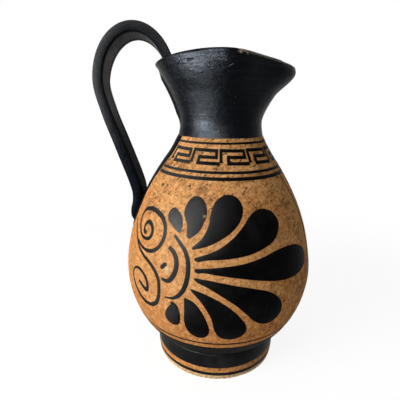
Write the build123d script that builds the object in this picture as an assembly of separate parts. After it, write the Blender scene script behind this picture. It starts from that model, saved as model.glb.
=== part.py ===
from build123d import *

import os
from math import atan2, cos, degrees, hypot, radians, sin, sqrt, tan

# Painted oinochoe: a thrown belly on a ring foot, a pinched mouth and a tall strap handle.
# Millimetres, +Z up. The axis of the wheel is Z and the table is z = 0.
# The spout points along +X, the handle stands on the -X side, and the palmettes face -Y and +Y.

# Ring foot
foot_radius = 49.9
foot_bulge = 0.8
foot_height = 22.5
foot_ledge = 1.0
foot_ring_wall = 11.0
foot_edge = 0.8

# Body, with rises and drops counted from the widest turn and from the seam with the neck
belly_radius = 75.0
shoulder_inset = 9.8
shoulder_rise = 47.7
collar_spread = 12.9
collar_drop = 21.2
seam_radius = 32.4
seam_rise = 106.0
seam_lean = 14.0
body_wall = 5.0
base_recess = 12.0
floor_thickness = 7.0

# Neck and mouth, counted up from the seam
throat_radius = 31.0
throat_rise = 10.5
mouth_radius = 52.4
mouth_rise = 44.0
flare_power = 1.4
spout_radius = 60.5
spout_reach = 53.4
spout_lip = 6.0
spout_sharpness = 4
pinch_depth = 9.6
rim_arch_radius = 200.0
mouth_wall = 5.4
spine_width = 15.0
spine_thickness = 2.0
spine_top_drop = 9.0

# Strap handle
strap_width = 21.0
strap_thickness = 7.0
strap_edge = 1.2
arch_rise = 24.1
arch_springing_drop = 16.5
strap_seat = 2.0
handle_reach = 91.3
limb_lean = 18.5
limb_run = 31.0
limb_foot_drop = 36.0
limb_standoff = 14.1

# Handle's root, pressed on the shoulder: drop below the seam and thickness on the clay
root_neck_drop = 49.5
root_neck = 7.9
root_pad_drop = 60.0
root_pad = 4.2
root_tip_drop = 69.5
root_tip = 1.2

# Slip lines and bands
slip = 0.3
slip_clearance = 0.02
line_width = 1.9
thin_line = 1.2
neck_line_drop = 3.2
upper_line_drop = 21.3
lower_line_drop = 25.0
belly_line_width = 1.5
belly_line_rise = 24.9
lower_coat_rise = 19.4
foot_band_bottom = 10.9
foot_band_top = 21.0
foot_line_width = 2.8
foot_line_height = 5.3
panel_width = 42.0

# Running key on the shoulder
key_units = 10
key_top_drop = 7.8
key_middle_drop = 12.0
key_bottom_drop = 15.8
key_stroke = 1.6
key_gap = 0.25
key_back_angle = 32.0
key_hook_start = 0.25
key_hook_end = 0.84

# Black tongue under the handle
back_angle = 31.0
back_upper_drop = 12.0
back_upper_angle = 27.5
back_waist_drop = 25.0
back_waist_angle = 24.0
back_neck_drop = 44.0
back_neck_angle = 15.0
back_low_drop = 66.5
back_low_angle = 12.0
back_tip_drop = 74.0

# Palmette, drawn for a belly of this radius and a field that reaches this far above and below the widest
# turn: millimetres round that turn from the -Y side, then height above it.
drawn_radius = 75.0
drawn_above = 81.0
drawn_below = 32.3
petals = [
    [(-31.6, 47.5), (-37.5, 50.3), (-43.4, 55.5), (-39.6, 61.7), (-31.6, 59.1), (-28.2, 52.5),
     (-29.4, 47.5)],
    [(-23.2, 44.7), (-24.2, 52.3), (-28.8, 60.2), (-25.5, 68.0), (-17.0, 70.2), (-9.6, 64.0),
     (-12.6, 51.5), (-21.5, 44.1)],
    [(-18.4, 39.4), (-9.0, 49.5), (-5.4, 63.0), (3.6, 70.9), (15.0, 70.9), (20.8, 62.3),
     (11.7, 50.8), (-6.5, 40.9), (-17.8, 38.1)],
    [(-15.4, 32.8), (1.6, 40.0), (18.5, 52.0), (27.5, 60.2), (41.0, 62.5), (52.2, 54.5),
     (44.5, 42.0), (22.0, 35.5), (-5.0, 32.7), (-15.2, 31.7)],
    [(-14.8, 26.5), (18.6, 30.2), (45.0, 35.7), (66.0, 35.7), (82.4, 24.5), (74.0, 15.1),
     (50.0, 14.5), (18.4, 21.0), (-14.6, 25.1)],
    [(-14.9, 20.5), (11.2, 17.0), (36.0, 10.1), (48.8, -3.0), (42.5, -15.6), (27.5, -11.9),
     (13.5, 2.9), (-6.2, 15.4), (-14.5, 19.3)],
    [(-16.6, 12.8), (0.0, 7.7), (16.0, -5.0), (22.4, -18.0), (11.5, -26.3), (0.6, -21.3),
     (-3.6, -5.0), (-16.2, 11.3)],
    [(-19.5, 6.7), (-10.8, 0.1), (-4.4, -15.5), (-9.5, -26.1), (-19.4, -21.1), (-21.4, -9.5),
     (-21.2, 5.9)],
    [(-29.0, 1.2), (-25.0, -4.5), (-25.4, -15.1), (-31.0, -18.5), (-36.8, -11.9), (-31.0, 0.5)],
]
stroke_width = 2.2
heart_arc = [(-33.1, 45.1), (-23.2, 36.9), (-19.5, 25.2), (-21.5, 12.6), (-27.5, 4.7), (-36.1, 2.5)]
inner_arc = [(-36.4, 37.1), (-29.6, 31.8), (-28.6, 23.5), (-34.2, 14.3), (-38.5, 14.1)]
heart_dot = (-38.6, 24.1)
dot_width = 4.6
dot_height = 3.4
upper_volute = [
    (-65.8, 41.9), (-65.6, 48.5), (-56.5, 44.5), (-60.6, 36.4), (-74.4, 41.9), (-73.8, 54.7),
    (-56.1, 56.3), (-42.6, 46.3), (-45.6, 35.0), (-58.5, 29.5), (-68.5, 32.0),
]
lower_volute = [
    (-76.8, 35.3), (-68.5, 28.4), (-51.7, 22.0), (-42.2, 14.0), (-41.6, 1.3), (-48.0, -7.9),
    (-62.6, -6.5), (-73.3, 5.4), (-67.9, 13.6), (-55.0, 10.9), (-54.7, 0.8), (-62.0, 4.9),
]

# Heights and places that follow from the sizes above
belly_height = foot_height + sqrt(belly_radius**2 - (foot_radius - foot_ledge) ** 2)
shoulder_height = belly_height + shoulder_rise
seam_height = belly_height + seam_rise
collar_height = seam_height - collar_drop
throat_height = seam_height + throat_rise
rim_height = throat_height + mouth_rise
springing_height = rim_height - arch_springing_drop
belly_line_height = foot_height + belly_line_rise
field_top = seam_height - lower_line_drop
rise_share = (field_top - belly_height) / drawn_above
drop_share = (belly_height - belly_line_height) / drawn_below

# Fineness of the drawing: points up the shoulder and round the mouth, shares of the mouth's rise that
# have an outline, and the search step
shoulder_stations = 8
outline_points = 16
outline_shares = (0, 0.25, 0.5, 0.75, 1.1)
search_step = 1e-7
clear_of_all = 2 * (handle_reach + rim_height)


def flat(points):
    """Points of the side view, as radius and height, in the XZ plane."""
    return [(radius, 0, height) for radius, height in points]


def side_spline(points, start, end):
    """Smooth line in the XZ plane with its two end directions."""
    return Spline(*flat(points), tangents=flat([start, end]))


def side_path(points):
    """Straight edges through points of the side view."""
    return Polyline(*flat(points)).edges()


def moved_side(edge, stations, amount):
    """Points of a side view line at shares of its length, moved square to it by an amount."""
    moved = []
    for station in stations:
        place = edge @ station
        along = edge % station
        moved.append((place.X + along.Z * amount, place.Z - along.X * amount))
    return moved


def upward(lean):
    """Upward direction that leans towards the axis by an angle in degrees."""
    return (-sin(radians(lean)), cos(radians(lean)))


def turned(edges):
    """Solid of revolution from the closed outline that the edges draw in the XZ plane."""
    return revolve(make_face(edges), Axis.Z)


shoulder_points = [
    (belly_radius, belly_height),
    (belly_radius - shoulder_inset, shoulder_height),
    (seam_radius + collar_spread, collar_height),
    (seam_radius, seam_height),
]
shoulder_line = side_spline(shoulder_points, upward(0), upward(seam_lean))


def sphere_radius(height, radius=belly_radius):
    """Radius of the round lower belly at a height."""
    return sqrt(radius**2 - (height - belly_height) ** 2)


def body_radius(height):
    """Outer radius of the body at a height."""
    if height <= belly_height:
        return sphere_radius(height)
    low, high = 0.0, 1.0
    while high - low > search_step:
        middle = (low + high) / 2
        if (shoulder_line @ middle).Z < height:
            low = middle
        else:
            high = middle
    return (shoulder_line @ low).X


def body_side(amount, bottom):
    """Side of the body, moved outwards by an amount, from a bottom height up to the seam."""
    radius = belly_radius + amount
    start_angle = degrees(atan2(bottom - belly_height, sphere_radius(bottom, radius)))
    lower = Plane.XZ * Pos(0, belly_height) * CenterArc((0, 0), radius, start_angle, -start_angle)
    stations = [step / shoulder_stations for step in range(shoulder_stations + 1)]
    points = moved_side(shoulder_line, stations, amount)
    points[-1] = (seam_radius + amount / cos(radians(seam_lean)), seam_height)
    upper = side_spline(points, upward(0), upward(seam_lean))
    return lower.edge(), upper


def body_form(amount, bottom):
    """Whole form of the body, moved outwards by an amount, flat at the bottom and at the seam."""
    lower, upper = body_side(amount, bottom)
    inside = Polyline(upper @ 1, (0, 0, seam_height), (0, 0, bottom), lower @ 0).edges()
    return turned([lower, upper, *inside])


def foot_side(amount):
    """Outer face of the foot, a shallow swell, moved outwards by an amount."""
    radius = foot_radius + amount
    middle = (radius + foot_bulge, 0, foot_height / 2)
    return ThreePointArc((radius, 0, 0), middle, (radius, 0, foot_height))


def make_foot(form):
    inner = foot_radius - foot_ring_wall
    rest = side_path([(foot_radius, foot_height), (inner, foot_height), (inner, 0), (foot_radius, 0)])
    ring = turned([foot_side(0), *rest])
    circles = ring.edges().filter_by(GeomType.CIRCLE)
    outer_rims = [circle for circle in circles if circle.radius > inner + foot_edge]
    return fillet(outer_rims, foot_edge) - form


def flare(height):
    """How far the mouth has opened at a height: 0 at the throat, 1 at the rim's top."""
    return (max(0.0, height - throat_height) / mouth_rise) ** flare_power


def mouth_back(height):
    """Outer radius of the mouth on the handle's side."""
    return throat_radius + flare(height) * (mouth_radius - throat_radius)


def mouth_outline(height, base_radius, inset):
    """Outline of the mouth at a height: round behind, pinched beside the spout."""
    opened = flare(height)
    points = []
    for step in range(outline_points):
        angle = radians(360 / outline_points * step)
        forward = max(0.0, cos(angle))
        radius = base_radius + opened * (mouth_radius - throat_radius)
        radius += opened * (spout_radius - mouth_radius) * forward**spout_sharpness
        if forward > 0:
            radius -= opened * pinch_depth * sin(2 * angle) ** 2
        points.append(((radius - inset) * cos(angle), (radius - inset) * sin(angle), height))
    return make_face(Spline(*points, periodic=True))


def mouth_loft(inset):
    """Smooth solid through the mouth's outlines, from the seam to just above the rim."""
    sections = [mouth_outline(seam_height, seam_radius, inset)]
    for share in outline_shares:
        sections.append(mouth_outline(throat_height + share * mouth_rise, throat_radius, inset))
    return loft(sections)


def make_spine():
    """Low rib of clay down the back of the mouth, which braces the handle's landing."""
    top = rim_height - spine_top_drop
    middle = (throat_height + top) / 2
    points = [
        (-mouth_back(throat_height), throat_height),
        (-mouth_back(middle) - spine_thickness, middle),
        (-mouth_back(top), top),
    ]
    back = Spline(*flat(points))
    front = Polyline(back @ 1, (0, 0, top), (0, 0, throat_height), back @ 0).edges()
    return extrude(make_face([back, *front]), spine_width / 2, both=True)


def under_rim():
    """Everything below the arched rim and behind the spout's rounded lip."""
    far = 2 * mouth_radius
    arch_centre = rim_height - rim_arch_radius
    arch = ThreePointArc(
        (-far, 0, arch_centre + sqrt(rim_arch_radius**2 - far**2)),
        (0, 0, rim_height),
        (spout_reach, 0, arch_centre + sqrt(rim_arch_radius**2 - spout_reach**2)),
    )
    sides = Polyline(arch @ 1, (spout_reach, 0, seam_height), (-far, 0, seam_height), arch @ 0).edges()
    block = extrude(make_face([arch, *sides]), far, both=True)
    corner = block.edges().filter_by(Axis.Y).group_by(Axis.X)[-1].sort_by(Axis.Z)[-1]
    return fillet(corner, spout_lip)


def make_mouth():
    return (mouth_loft(0) + make_spine() - mouth_loft(mouth_wall)) & under_rim()


def strap_face(grown):
    """Side view of the strap: an arch of half an ellipse, a leaning limb and a pressed root."""
    half = strap_thickness / 2
    landing = mouth_back(springing_height) - strap_seat - half
    middle = (landing + handle_reach) / 2
    half_span = (handle_reach - landing) / 2
    arch_radius = rim_height + arch_rise - half - springing_height
    limb_foot_height = seam_height - limb_foot_drop
    limb_foot = body_radius(limb_foot_height) + limb_standoff
    points = [
        (-handle_reach, springing_height),
        (-limb_foot - limb_run * tan(radians(limb_lean)), limb_foot_height + limb_run),
        (-limb_foot, limb_foot_height),
    ]
    roots = ((root_neck_drop, root_neck), (root_pad_drop, root_pad), (root_tip_drop, root_tip))
    for drop, thickness in roots:
        height = seam_height - drop
        points.append((half - thickness - body_radius(height), height))
    down = (0, -1)
    along_belly = (points[-1][0] - points[-2][0], points[-1][1] - points[-2][1])
    limb = side_spline(points, down, along_belly)
    stations = [limb.param_at_point(point) for point in flat(points)]
    edges = []
    for side in (half + grown, -half - grown):
        arch = EllipticalCenterArc((0, 0), half_span + side, arch_radius + side, 0, arc_size=180)
        edges.append((Plane.XZ * Pos(-middle, springing_height) * arch).edge())
        edges.append(side_spline(moved_side(limb, stations, side), down, along_belly))
    outer_arch, outer_limb, inner_arch, inner_limb = edges
    landing_end = Line(outer_arch @ 0, inner_arch @ 0)
    root_end = Line(outer_limb @ 1, inner_limb @ 1)
    return make_face([*edges, landing_end, root_end])


def make_strap(grown):
    """Whole strap, grown on all its sides by an amount, with its long edges softened."""
    strap = extrude(strap_face(grown), strap_width / 2 + grown, both=True)
    flanks = strap.faces().filter_by(Axis.Y)
    ends = flanks.edges().filter_by(GeomType.LINE)
    return fillet([edge for edge in flanks.edges() if edge not in ends], strap_edge)


def make_coat():
    """Slip over the whole visible belly and shoulder, which the painted outlines are cut from."""
    lower, upper = body_side(slip_clearance, foot_height)
    outer_lower, outer_upper = body_side(slip_clearance + slip, foot_height)
    bottom = Line(lower @ 0, outer_lower @ 0)
    top = Line(upper @ 1, outer_upper @ 1)
    return turned([lower, upper, top, outer_upper, outer_lower, bottom])


def slab(bottom, top):
    """Everything between two heights."""
    return Pos(0, 0, (bottom + top) / 2) * Box(clear_of_all, clear_of_all, top - bottom)


def line_slab(height, width):
    return slab(height - width / 2, height + width / 2)


def facing(angle):
    """Upright plane on the axis that faces outwards, at an angle from -Y towards +X."""
    turn = radians(angle)
    return Plane(origin=(0, 0, 0), x_dir=(cos(turn), sin(turn), 0), z_dir=(sin(turn), -cos(turn), 0))


def seen_from(angle, place, height):
    """Point of the body at its own angle and height, in the plane that faces an angle."""
    return (body_radius(height) * sin(radians(place - angle)), height)


def laid_on(coat, angle, drawing):
    """Slip where a drawing on the facing plane falls on the body."""
    return coat & extrude(facing(angle) * drawing, 2 * belly_radius)


def on_belly(angle, outline):
    """Palmette points as they lie in the plane that faces an angle."""
    points = []
    for around, rise in outline:
        place = degrees(around / drawn_radius)
        share = rise_share if rise > 0 else drop_share
        points.append(seen_from(angle, place, belly_height + rise * share))
    return points


def middle_angle(outline):
    places = [around for around, rise in outline]
    return degrees((min(places) + max(places)) / 2 / drawn_radius)


def petal(coat, outline):
    angle = middle_angle(outline)
    points = on_belly(angle, outline)
    return laid_on(coat, angle, make_face([Spline(*points), Line(points[-1], points[0])]))


def brush_line(coat, outline):
    angle = middle_angle(outline)
    return laid_on(coat, angle, trace(Spline(*on_belly(angle, outline)), stroke_width))


def dot(coat):
    angle = middle_angle([heart_dot])
    place = on_belly(angle, [heart_dot])[0]
    return laid_on(coat, angle, Pos(*place) * Ellipse(dot_width / 2, dot_height / 2))


def bar(start, end):
    """Straight stroke of the key between two points, square at its ends."""
    across, up = end[0] - start[0], end[1] - start[1]
    middle = Pos((start[0] + end[0]) / 2, (start[1] + end[1]) / 2)
    turn = Rot(0, 0, degrees(atan2(up, across)))
    return middle * turn * Rectangle(hypot(across, up) + key_stroke, key_stroke)


def make_key(coat):
    """Running key: an upright, a hook that turns back, and a foot to the next upright."""
    pitch = (360 - 2 * key_back_angle) / key_units
    top = seam_height - key_top_drop
    middle = seam_height - key_middle_drop
    bottom = seam_height - key_bottom_drop
    clearance = degrees((key_stroke + key_gap) / body_radius(bottom)) / pitch
    path = [
        (0, bottom), (0, top), (key_hook_end, top), (key_hook_end, middle),
        (key_hook_start, middle), (key_hook_start, bottom), (1 - clearance, bottom),
    ]
    units = []
    for unit in range(key_units):
        start = -90 + key_back_angle + unit * pitch
        angle = start + pitch / 2
        corners = [seen_from(angle, start + share * pitch, height) for share, height in path]
        strokes = [bar(corner, after) for corner, after in zip(corners, corners[1:])]
        units.append(laid_on(coat, angle, Sketch() + strokes))
    return units


def back_drawing():
    """Outline of the black tongue, in the plane that faces the handle."""
    stations = (
        (0, back_angle), (back_upper_drop, back_upper_angle), (back_waist_drop, back_waist_angle),
        (back_neck_drop, back_neck_angle), (back_low_drop, back_low_angle), (back_tip_drop, 0),
    )
    points = [seen_from(0, angle, seam_height - drop) for drop, angle in stations]
    right = Spline(*points)
    left = mirror(right, about=Plane.YZ).edge()
    return make_face([right, left, Line(right @ 0, left @ 0)])


def panel_drawing():
    """Two upright lines that frame the bare panel under the spout."""
    upright = Rectangle(thin_line, field_top - belly_line_height - line_width)
    middle = (belly_line_height + field_top) / 2
    return Sketch() + [Pos(side * panel_width / 2, middle) * upright for side in (-1, 1)]


def make_foot_coat():
    inner, outer = foot_side(slip_clearance), foot_side(slip_clearance + slip)
    ends = [Line(inner @ 0, outer @ 0), Line(inner @ 1, outer @ 1)]
    return turned([inner, outer, *ends])


def far_side(solids):
    """The same painting on the +Y side."""
    return [mirror(solid, about=Plane.XZ) for solid in solids]


def make_parts():
    form = body_form(0, base_recess)
    body = form - body_form(-body_wall, base_recess + floor_thickness)
    mouth = make_mouth()
    handle = make_strap(0) - form - mouth
    coat = make_coat()
    foot_coat = make_foot_coat()
    front_coat = coat - extrude(facing(-90) * back_drawing(), 2 * belly_radius)
    palmette = [petal(coat, outline) for outline in petals]
    heart = [brush_line(coat, heart_arc), brush_line(coat, inner_arc), dot(coat)]
    volutes = [brush_line(coat, upper_volute), brush_line(coat, lower_volute)]
    return {
        "body": [body],
        "foot_ring": [make_foot(form)],
        "neck_mouth": [mouth],
        "handle": [handle],
        "back_coat": [laid_on(coat, -90, back_drawing()) - make_strap(slip_clearance)],
        "neck_line": [front_coat & line_slab(seam_height - neck_line_drop, thin_line)],
        "key_band": make_key(coat),
        "shoulder_line_upper": [front_coat & line_slab(seam_height - upper_line_drop, thin_line)],
        "shoulder_line_lower": [front_coat & line_slab(field_top, line_width)],
        "panel_frame": [laid_on(coat, 90, panel_drawing())],
        "palmette_near": palmette,
        "palmette_far": far_side(palmette),
        "heart_near": heart,
        "heart_far": far_side(heart),
        "volutes_near": volutes,
        "volutes_far": far_side(volutes),
        "belly_line": [coat & line_slab(belly_line_height, belly_line_width)],
        "lower_belly_coat": [coat & slab(foot_height, foot_height + lower_coat_rise)],
        "foot_band": [foot_coat & slab(foot_band_bottom, foot_band_top)],
        "foot_line": [foot_coat & line_slab(foot_line_height, foot_line_width)],
    }


os.makedirs("parts", exist_ok=True)
for node, shapes in make_parts().items():
    solids = [solid for shape in shapes for solid in shape.solids()]
    export_step(Compound(children=solids) if len(solids) > 1 else solids[0], f"parts/{node}.step")
    print(node, len(solids), "solids")
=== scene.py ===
# %% [markdown]
# # A painted wine jug with a pinched mouth
# The jug is thrown clay: a round belly on a ring foot, a flaring mouth that is squeezed on both sides
# of the spout, and a tall strap handle. Black slip covers the neck and the handle, and is painted as a
# palmette, two spirals and a running key on the bare orange clay.
# The packed part is loaded first, as a fixed frame. The pieces below take their sizes from it, so
# each one is modelled where it belongs and nothing is moved afterwards.

# %% Load the packed jug
from math import asin, atan2, cos, degrees, hypot, pi, radians, sin, sqrt

import bmesh
import bpy
import numpy as np
from mathutils import Matrix, Vector, noise
from mathutils.geometry import interpolate_bezier


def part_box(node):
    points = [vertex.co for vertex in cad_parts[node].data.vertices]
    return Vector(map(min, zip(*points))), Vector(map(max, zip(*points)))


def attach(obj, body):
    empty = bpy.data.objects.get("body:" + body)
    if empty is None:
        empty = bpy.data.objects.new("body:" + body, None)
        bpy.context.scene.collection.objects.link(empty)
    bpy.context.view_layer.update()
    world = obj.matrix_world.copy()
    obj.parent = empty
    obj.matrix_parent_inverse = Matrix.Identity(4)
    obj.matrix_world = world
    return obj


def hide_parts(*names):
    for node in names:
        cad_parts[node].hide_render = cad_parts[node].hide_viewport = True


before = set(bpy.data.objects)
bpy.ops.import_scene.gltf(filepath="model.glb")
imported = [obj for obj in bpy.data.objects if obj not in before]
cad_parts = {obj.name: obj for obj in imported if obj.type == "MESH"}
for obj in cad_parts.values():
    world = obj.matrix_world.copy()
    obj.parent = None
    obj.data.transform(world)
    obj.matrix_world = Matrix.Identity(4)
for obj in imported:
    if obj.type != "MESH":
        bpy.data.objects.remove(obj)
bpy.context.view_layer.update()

print("nodes to dress:", len(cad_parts))

# %% [markdown]
# ## Sizes
# A potter thinks in millimetres, so the shapes are worked out in millimetres and each mesh is made
# 1000 times smaller when it is finished. What the packed boxes can't say, such as how far the foot
# swells or how thick the wall is, is written here once.

# %% Sizes from the frame
MM = 0.001


def node_box(node):
    """Lowest and highest corner of a packed node, in millimetres."""
    low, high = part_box(node)
    return low / MM, high / MM


body_low, body_high = node_box("body")
strap_low, strap_high = node_box("handle")
foot_high, mouth_high = node_box("foot_ring")[1], node_box("neck_mouth")[1]

belly_radius = body_high.x
seam_height = body_high.z
foot_height = foot_high.z
rim_height = mouth_high.z
foot_bulge = 0.8
foot_ledge = 1.0
foot_radius = foot_high.x - foot_bulge
belly_height = foot_height + sqrt(belly_radius**2 - (foot_radius - foot_ledge) ** 2)
print(f"belly {belly_radius:.1f} at {belly_height:.1f}, seam {seam_height:.1f}, rim {rim_height:.1f}")

# %% [markdown]
# ## A smooth line through a few points
# Outlines are drawn as a potter would: a few points are chosen and a smooth line is led through
# them. Each stretch is a Bezier curve whose handles follow the neighbouring points, which is what the
# editor's automatic handles do.

# %% Smooth lines
def smooth_line(points, closed=False, steps=6):
    """Points on a smooth curve through given points, round and back again if it is closed."""
    knots = [Vector((*point, 0)) for point in points]
    count = len(knots)
    directions = []
    for index, knot in enumerate(knots):
        before = knots[index - 1] if closed or index else knot
        after = knots[(index + 1) % count] if closed or index + 1 < count else knot
        back, forth = knot - before, after - knot
        tilt = back.normalized() * (forth.length or 1) + forth.normalized() * (back.length or 1)
        directions.append(tilt.normalized())
    line = []
    for index in range(count if closed else count - 1):
        start, end = knots[index], knots[(index + 1) % count]
        reach = (end - start).length / 3
        handle_out = start + directions[index] * reach
        handle_in = end - directions[(index + 1) % count] * reach
        line += interpolate_bezier(start, handle_out, handle_in, end, steps + 1)[:-1]
    if not closed:
        line.append(knots[-1])
    return [Vector((point.x, point.y)) for point in line]


print("points on a smooth line through three:", len(smooth_line([(0, 0), (1, 2), (3, 3)])))

# %% [markdown]
# ## From a drawing to a piece
# Each piece is built as a bmesh in millimetres. One helper shades it smooth except along its sharp edges,
# brings it to metres, hangs it on the root and hides the packed node that it stands for, so every piece
# ends the same way.

# %% Finishing a piece
SHARP_ANGLE = radians(32)


def finish_piece(name, bm, material, node):
    """Turns a bmesh in millimetres into an object of the scene that stands for a packed node."""
    for edge in bm.edges:
        edge.smooth = edge.calc_face_angle(0) < SHARP_ANGLE
    bmesh.ops.scale(bm, vec=(MM, MM, MM), verts=bm.verts)
    mesh = bpy.data.meshes.new(name)
    bm.to_mesh(mesh)
    bm.free()
    mesh.polygons.foreach_set("use_smooth", [True] * len(mesh.polygons))
    mesh.materials.append(material)
    piece = bpy.data.objects.new(name, mesh)
    bpy.context.scene.collection.objects.link(piece)
    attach(piece, "root")
    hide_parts(node)
    print(f"{name}: {len(mesh.polygons)} faces")
    return piece


print(f"edges stay sharp from {degrees(SHARP_ANGLE):.0f} degrees on")

# %% [markdown]
# ## Finishes
# Every finish is a small tree of nodes: clouds and specks of noise choose between a few colours, and the
# same noise roughens and dents the surface. The noise reads Object coordinates in metres, so its scale
# is a number of blotches per metre and it stays on the clay when the jug moves. A zone is a pair of
# places along Z or X, also in metres, between which a finish changes softly.

# %% Node helpers
class Finish:
    """A material with one shader, and short names for the nodes that a finish needs."""

    def __init__(self, name, roughness, specular):
        self.material = bpy.data.materials.new(name)
        self.material.use_nodes = True
        self.nodes = self.material.node_tree.nodes
        self.links = self.material.node_tree.links
        self.shader = self.nodes["Principled BSDF"]
        self.shader.inputs["Roughness"].default_value = roughness
        self.shader.inputs["Specular IOR Level"].default_value = specular
        self.place = self.nodes.new("ShaderNodeTexCoord").outputs["Object"]

    def clouds(self, scale, detail=4, roughness=0.5, stretch=(1, 1, 1), lean=0):
        """Noise with about that many blotches per metre, drawn out along each axis and then leaned."""
        mapping = self.nodes.new("ShaderNodeMapping")
        mapping.vector_type = "TEXTURE"
        mapping.inputs["Rotation"].default_value = (0, lean, 0)
        mapping.inputs["Scale"].default_value = stretch
        texture = self.nodes.new("ShaderNodeTexNoise")
        texture.inputs["Scale"].default_value = scale
        texture.inputs["Detail"].default_value = detail
        texture.inputs["Roughness"].default_value = roughness
        self.links.new(self.place, mapping.inputs["Vector"])
        self.links.new(mapping.outputs["Vector"], texture.inputs["Vector"])
        return texture.outputs["Fac"]

    def remap(self, value, low, high, to_low=0.0, to_high=1.0):
        """The part of a value between two limits, as a soft step from one number to another."""
        step = self.nodes.new("ShaderNodeMapRange")
        step.interpolation_type = "SMOOTHSTEP"
        for socket, number in zip(step.inputs[1:5], (low, high, to_low, to_high)):
            socket.default_value = number
        self.links.new(value, step.inputs["Value"])
        return step.outputs["Result"]

    def combine(self, operation, first, *others):
        """Arithmetic on values and numbers, from left to right."""
        for second in others:
            node = self.nodes.new("ShaderNodeMath")
            node.operation = operation
            for socket, value in zip(node.inputs, (first, second)):
                if isinstance(value, (int, float)):
                    socket.default_value = value
                else:
                    self.links.new(value, socket)
            first = node.outputs["Value"]
        return first

    def relief(self, *layers):
        """Sum of layers, each a value and how much it raises the surface, or sinks it if negative."""
        return self.combine("ADD", *(self.combine("MULTIPLY", *layer) for layer in layers))

    def tint(self, share, under, over):
        """Colour that goes from under to over as a share goes from 0 to 1."""
        node = self.nodes.new("ShaderNodeMix")
        node.data_type = "RGBA"
        self.links.new(share, node.inputs["Factor"])
        for socket, colour in zip(node.inputs[6:8], (under, over)):
            if isinstance(colour, tuple):
                socket.default_value = (*colour, 1)
            else:
                self.links.new(colour, socket)
        return node.outputs[2]

    def along(self, axis):
        """How far a point lies along X, Y or Z, in metres."""
        node = self.nodes.new("ShaderNodeSeparateXYZ")
        self.links.new(self.place, node.inputs["Vector"])
        return node.outputs[axis]

    def near(self, point, radius, core=0.4):
        """A value of 1 round a point of the jug, in its core, and 0 from a radius in millimetres on."""
        node = self.nodes.new("ShaderNodeVectorMath")
        node.operation = "DISTANCE"
        node.inputs[1].default_value = [number * MM for number in point]
        self.links.new(self.place, node.inputs[0])
        return self.remap(node.outputs["Value"], core * radius * MM, radius * MM, 1, 0)

    def painted(self, name):
        """Value that was laid on the mesh's own points."""
        node = self.nodes.new("ShaderNodeAttribute")
        node.attribute_name = name
        return node.outputs["Fac"]

    def finish(self, colour, roughness, height, depth_mm):
        """Joins the colour, the roughness and a relief of that depth to the shader."""
        bump = self.nodes.new("ShaderNodeBump")
        bump.inputs["Distance"].default_value = depth_mm * MM
        self.links.new(height, bump.inputs["Height"])
        self.links.new(colour, self.shader.inputs["Base Color"])
        self.links.new(roughness, self.shader.inputs["Roughness"])
        self.links.new(bump.outputs["Normal"], self.shader.inputs["Normal"])
        print("finish:", self.material.name)
        return self.material


print("node helpers:", [name for name in vars(Finish) if not name.startswith("_")])

# %% [markdown]
# The bare clay is warm orange, redder low down and paler on the shoulder. Broad clouds from the kiln vary
# it, and the whole of it is flecked with cream and rust. Dark streaks a few millimetres long lean with the
# hand that wiped them, and they lie thickest round the shoulder and towards the spout, over a haze of
# brown. Rust smudges lie low on the handle's side, and a pale smear beside the dot. Small pits are left
# where grit burned out, and the edge that the jug stands on is worn to sandy cream. One image could hold
# all this, but layers of noise need no picture and have no seam.

# %% Colours and zones of the clay
CREAM_FLECK = (0.95, 0.62, 0.30)
PALE_CLAY = (0.82, 0.405, 0.138)
WARM_CLAY = (0.74, 0.300, 0.085)
RUST_FLECK = (0.46, 0.178, 0.050)
RUST_SMUDGE = (0.52, 0.200, 0.052)
BROWN_HAZE = (0.245, 0.108, 0.041)
DARK_STREAK = (0.095, 0.043, 0.019)
DARK_PIT = (0.050, 0.027, 0.015)
SANDY_EDGE = (0.90, 0.70, 0.40)
PALE_SMEAR = (0.93, 0.74, 0.46)
WIPED = radians(-38)
HEART_SMEAR, SMEAR_RADIUS = (-33.2, -65.3, 101.2), 3.6
REDDER_BELOW, PALER_ABOVE = (0.03, 0.10), (0.12, 0.17)
SHOULDER, TO_SPOUT = (0.11, 0.15), (0.0, 0.06)
SMUDGED_BELOW, OFF_FOOT, OFF_HANDLE = (0.04, 0.10), (0.024, 0.034), (-0.05, 0.01)
RESTING_EDGE = (0.0032, 0.0040)
print(f"the clay was wiped at {degrees(WIPED):.0f} degrees")

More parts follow.
